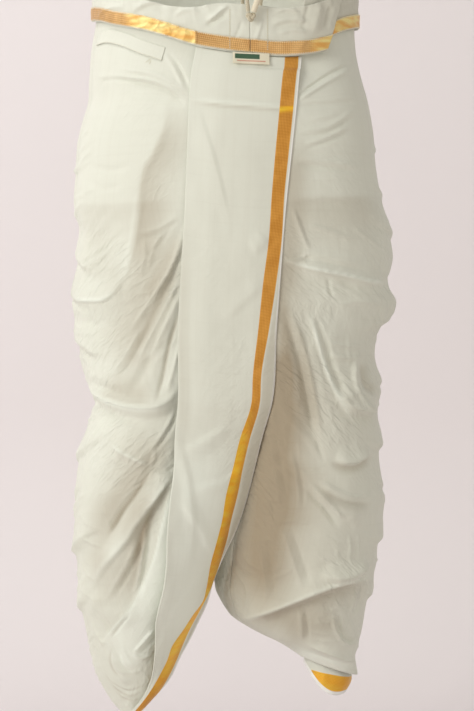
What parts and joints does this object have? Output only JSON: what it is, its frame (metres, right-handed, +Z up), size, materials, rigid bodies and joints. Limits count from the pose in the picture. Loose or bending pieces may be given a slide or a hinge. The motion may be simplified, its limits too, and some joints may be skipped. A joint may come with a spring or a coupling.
{
  "type": "ready-made dhoti",
  "caption": "Worn ready-made dhoti cloth: stitched waistband with zari tape and drawcord, front fall with a zari border, and two draped legs that narrow to the ankles.",
  "frame": {"origin": "centre of the waist opening, at the height where the body carries the waistband", "axes": "-Y is the front that the fall hangs on, +X is the wearer's left, +Z is up. The wearer stands turned about 14 degrees to the wearer's left at the waist, so the fly and the front centre lie about 35 mm to +X of the middle"},
  "size_m": [0.4352, 0.3203, 1.017],
  "materials": {
    "cotton": "soft, slightly sheer off-white plain-weave cotton",
    "zari": "woven gold zari border with a fine diamond texture and a satin glint",
    "drawcord": "soft off-white cotton tie",
    "label": "plain woven label with a bare green block"
  },
  "bodies": {
    "root": {"front_fall": "cotton", "right_leg_front": "cotton", "right_leg_back": "cotton", "left_leg_front": "cotton", "left_leg_back": "cotton", "right_inner_leg": "cotton", "left_inner_leg": "cotton", "waistband_right": "cotton", "waistband_left": "cotton", "waistband_back": "cotton", "pocket_welt": "cotton", "left_cuff": "cotton", "zari_tape_right": "zari", "zari_tape_left": "zari", "zari_tape_back": "zari", "drawcord_knot": "drawcord", "drawcord_thick": "drawcord", "drawcord_thin": "drawcord", "label": "label"}
  },
  "joints": []
}
